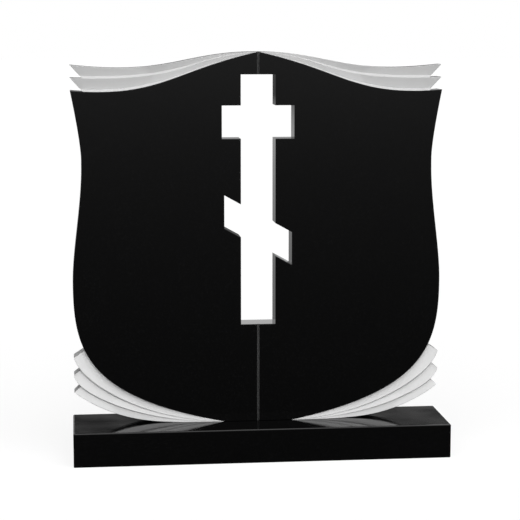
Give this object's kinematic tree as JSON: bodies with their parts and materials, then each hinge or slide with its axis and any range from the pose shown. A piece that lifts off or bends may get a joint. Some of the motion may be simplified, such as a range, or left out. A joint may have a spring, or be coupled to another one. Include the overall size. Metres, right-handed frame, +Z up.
{
  "type": "headstone",
  "caption": "Wide polished headstone shaped like an open book, with a cross pierced through it, honed page edges at top and bottom, on a low rectangular plinth.",
  "frame": {"origin": "middle of the plinth's underside, on the ground", "axes": "+X to the viewer's right as seen from the front, +Y from the front to the back, +Z up"},
  "size_m": [1.103, 0.25, 1.185],
  "materials": {
    "polished_granite": "black granite, mirror polished on the faces, the edges and the walls of the cross",
    "honed_granite": "the same granite cut back to a matt light grey where the page edges are carved",
    "plinth_granite": "black granite, mirror polished, edges rounded"
  },
  "bodies": {
    "root": {"book_slab": "polished_granite", "plinth": "plinth_granite"}
  },
  "joints": []
}
